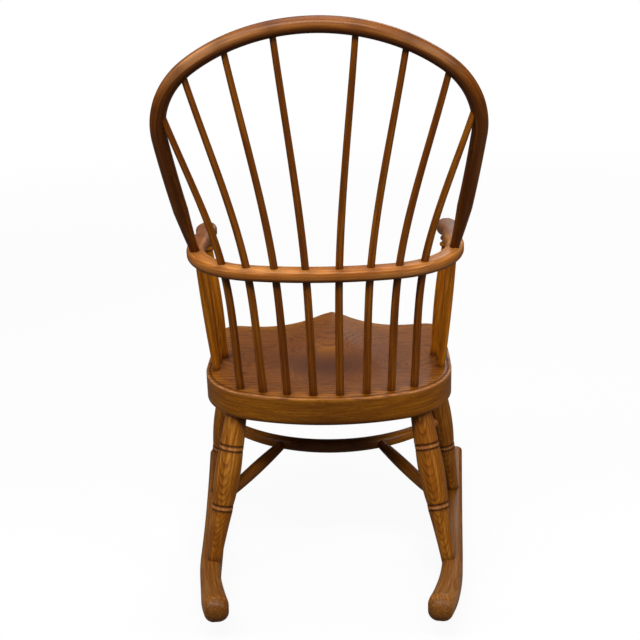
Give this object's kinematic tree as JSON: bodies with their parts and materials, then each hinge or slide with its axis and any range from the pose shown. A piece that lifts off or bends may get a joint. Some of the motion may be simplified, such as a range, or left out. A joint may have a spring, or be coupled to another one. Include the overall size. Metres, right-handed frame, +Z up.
{
  "type": "rocking chair",
  "caption": "Windsor rocking armchair with a bent hoop back, long sprung sticks, a bent arm bow, a saddled seat, turned legs, a crinoline stretcher and two rockers.",
  "frame": {"origin": "on the floor, midway along the rockers, on the chair's middle plane", "axes": "+Z up, -Y the way the sitter faces, +X to the sitter's left"},
  "size_m": [0.5795, 0.698, 1.1046],
  "materials": {
    "seat_elm": "satin",
    "back_ash": "polished",
    "arm_ash": "polished",
    "turned_ash": "polished",
    "stretcher_ash": "polished",
    "rocker_ash": "polished",
    "peg_oak": "satin"
  },
  "bodies": {
    "root": {"arm_bow": "arm_ash", "arm_post_left": "stretcher_ash", "arm_post_right": "stretcher_ash", "back_stick_left_1": "back_ash", "back_stick_left_2": "back_ash", "back_stick_left_3": "back_ash", "back_stick_left_4": "back_ash", "back_stick_right_1": "back_ash", "back_stick_right_2": "back_ash", "back_stick_right_3": "back_ash", "back_stick_right_4": "back_ash", "crinoline_stretcher": "stretcher_ash", "front_leg_left": "turned_ash", "front_leg_right": "turned_ash", "hoop": "back_ash", "hoop_wedges": "peg_oak", "rear_leg_left": "turned_ash", "rear_leg_right": "turned_ash", "rocker_left": "rocker_ash", "rocker_pegs": "peg_oak", "rocker_right": "rocker_ash", "seat": "seat_elm", "side_stick_left_1": "stretcher_ash", "side_stick_left_2": "stretcher_ash", "side_stick_right_1": "stretcher_ash", "side_stick_right_2": "stretcher_ash", "stretcher_spur_left": "stretcher_ash", "stretcher_spur_right": "stretcher_ash"}
  },
  "joints": []
}
